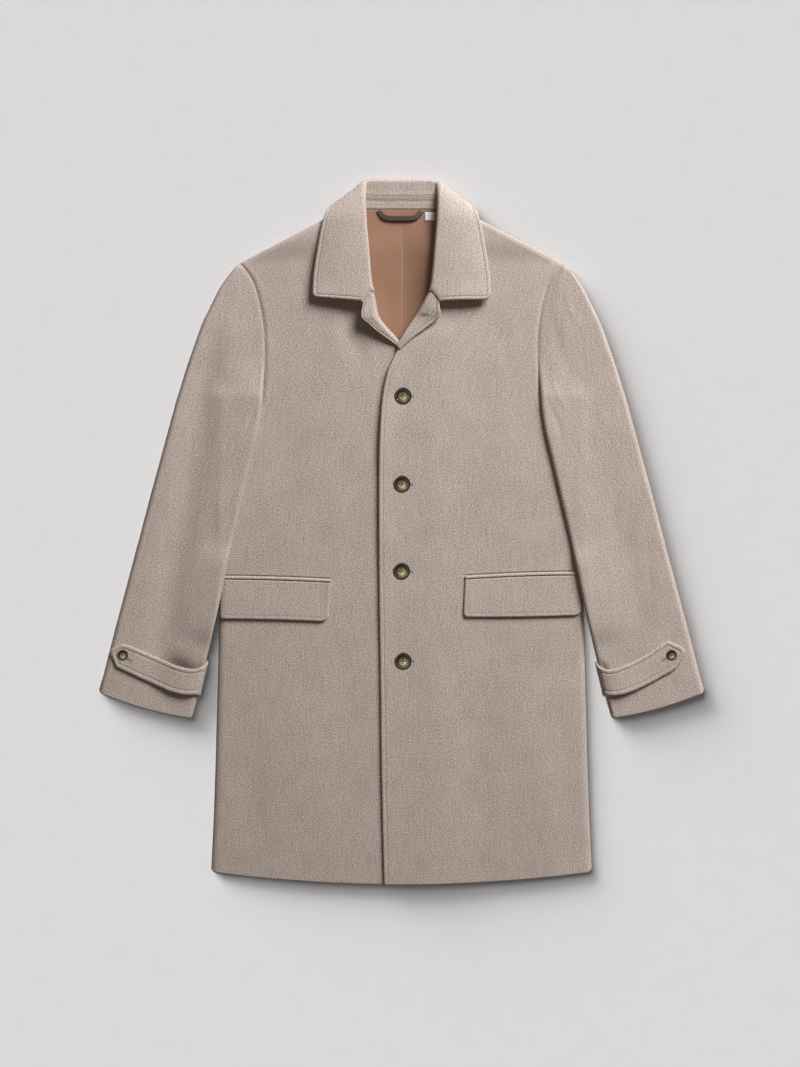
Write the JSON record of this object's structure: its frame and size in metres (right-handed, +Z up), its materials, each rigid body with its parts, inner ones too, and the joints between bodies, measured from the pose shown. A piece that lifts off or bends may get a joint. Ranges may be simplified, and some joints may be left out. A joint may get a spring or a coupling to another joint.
{
  "type": "overcoat",
  "caption": "Thigh-length single-breasted wool overcoat with turn-down collar, flap pockets and strapped cuffs, buttoned and laid flat on its back.",
  "frame": {"origin": "on the surface the coat lies on, under the middle of its outline", "axes": "+X to the wearer's left, +Y from the hem to the collar, +Z up out of the front"},
  "size_m": [0.8712, 1.017, 0.0294],
  "materials": {
    "wool": "matt taupe wool twill with a melange of light and dark hairs",
    "lining": "smooth tan-brown lining with a soft sheen",
    "horn": "polished dark olive-brown horn look",
    "ribbon": "dark brown woven tape",
    "label": "plain white woven tape, blank"
  },
  "bodies": {
    "root": {"back": "wool", "front_right": "wool", "front_left": "wool", "collar_leaf": "wool", "collar_stand": "wool", "top_sleeve_left": "wool", "top_sleeve_right": "wool", "under_sleeve_left": "wool", "under_sleeve_right": "wool", "cuff_strap_left": "wool", "cuff_strap_right": "wool", "lapel_left": "wool", "lapel_right": "wool", "pocket_flap_left": "wool", "pocket_flap_right": "wool", "pocket_welt_left": "wool", "pocket_welt_right": "wool", "cuff_button_left": "horn", "cuff_button_right": "horn", "front_button_1": "horn", "front_button_2": "horn", "front_button_3": "horn", "front_button_4": "horn", "back_lining": "lining", "hanger_loop": "ribbon", "size_label": "label"}
  },
  "joints": []
}
